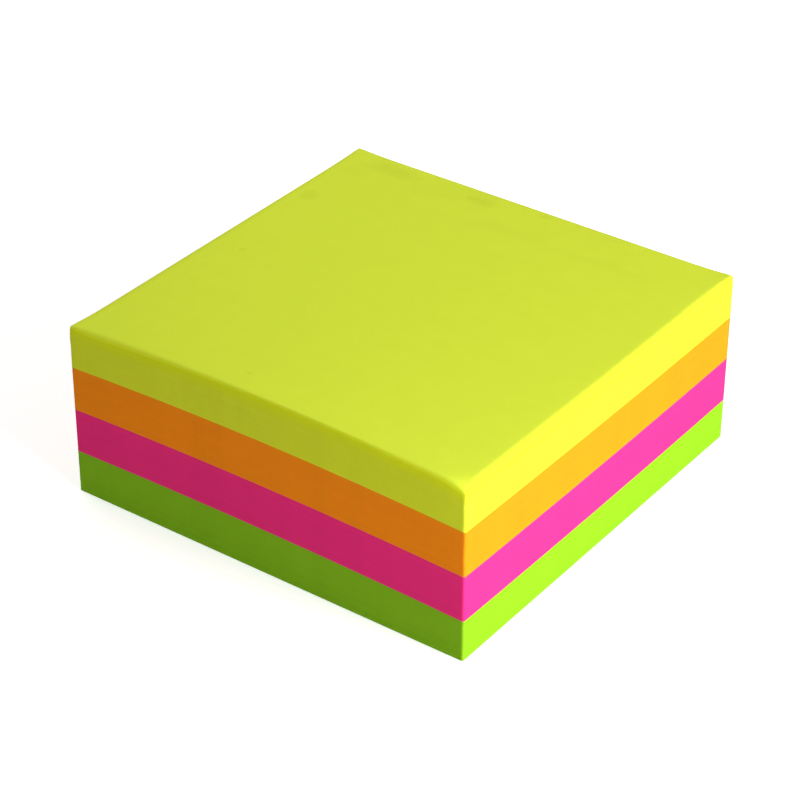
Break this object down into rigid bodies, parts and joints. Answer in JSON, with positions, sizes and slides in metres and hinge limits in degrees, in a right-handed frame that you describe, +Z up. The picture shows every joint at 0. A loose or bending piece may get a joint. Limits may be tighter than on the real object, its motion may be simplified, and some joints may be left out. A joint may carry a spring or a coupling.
{
  "type": "sticky note pad",
  "caption": "Square block of repositionable paper notes stacked in neon colour runs, each sheet held to the next by an adhesive band along its back edge.",
  "frame": {"origin": "middle of the flat underside, where the block rests", "axes": "+Z up through the stack; -Y towards the loose front edge, +Y towards the glued back edge, +X to the right"},
  "size_m": [0.076, 0.076, 0.0324],
  "materials": {
    "green_paper": "matte uncoated neon green paper, cut edges",
    "pink_paper": "matte uncoated neon pink paper, cut edges",
    "orange_paper": "matte uncoated neon orange paper, cut edges",
    "yellow_paper": "matte uncoated neon yellow paper, smooth top sheet and cut edges"
  },
  "bodies": {
    "root": {"green_sheets": "green_paper", "pink_sheets": "pink_paper", "orange_sheets": "orange_paper", "yellow_sheets": "yellow_paper"}
  },
  "joints": []
}
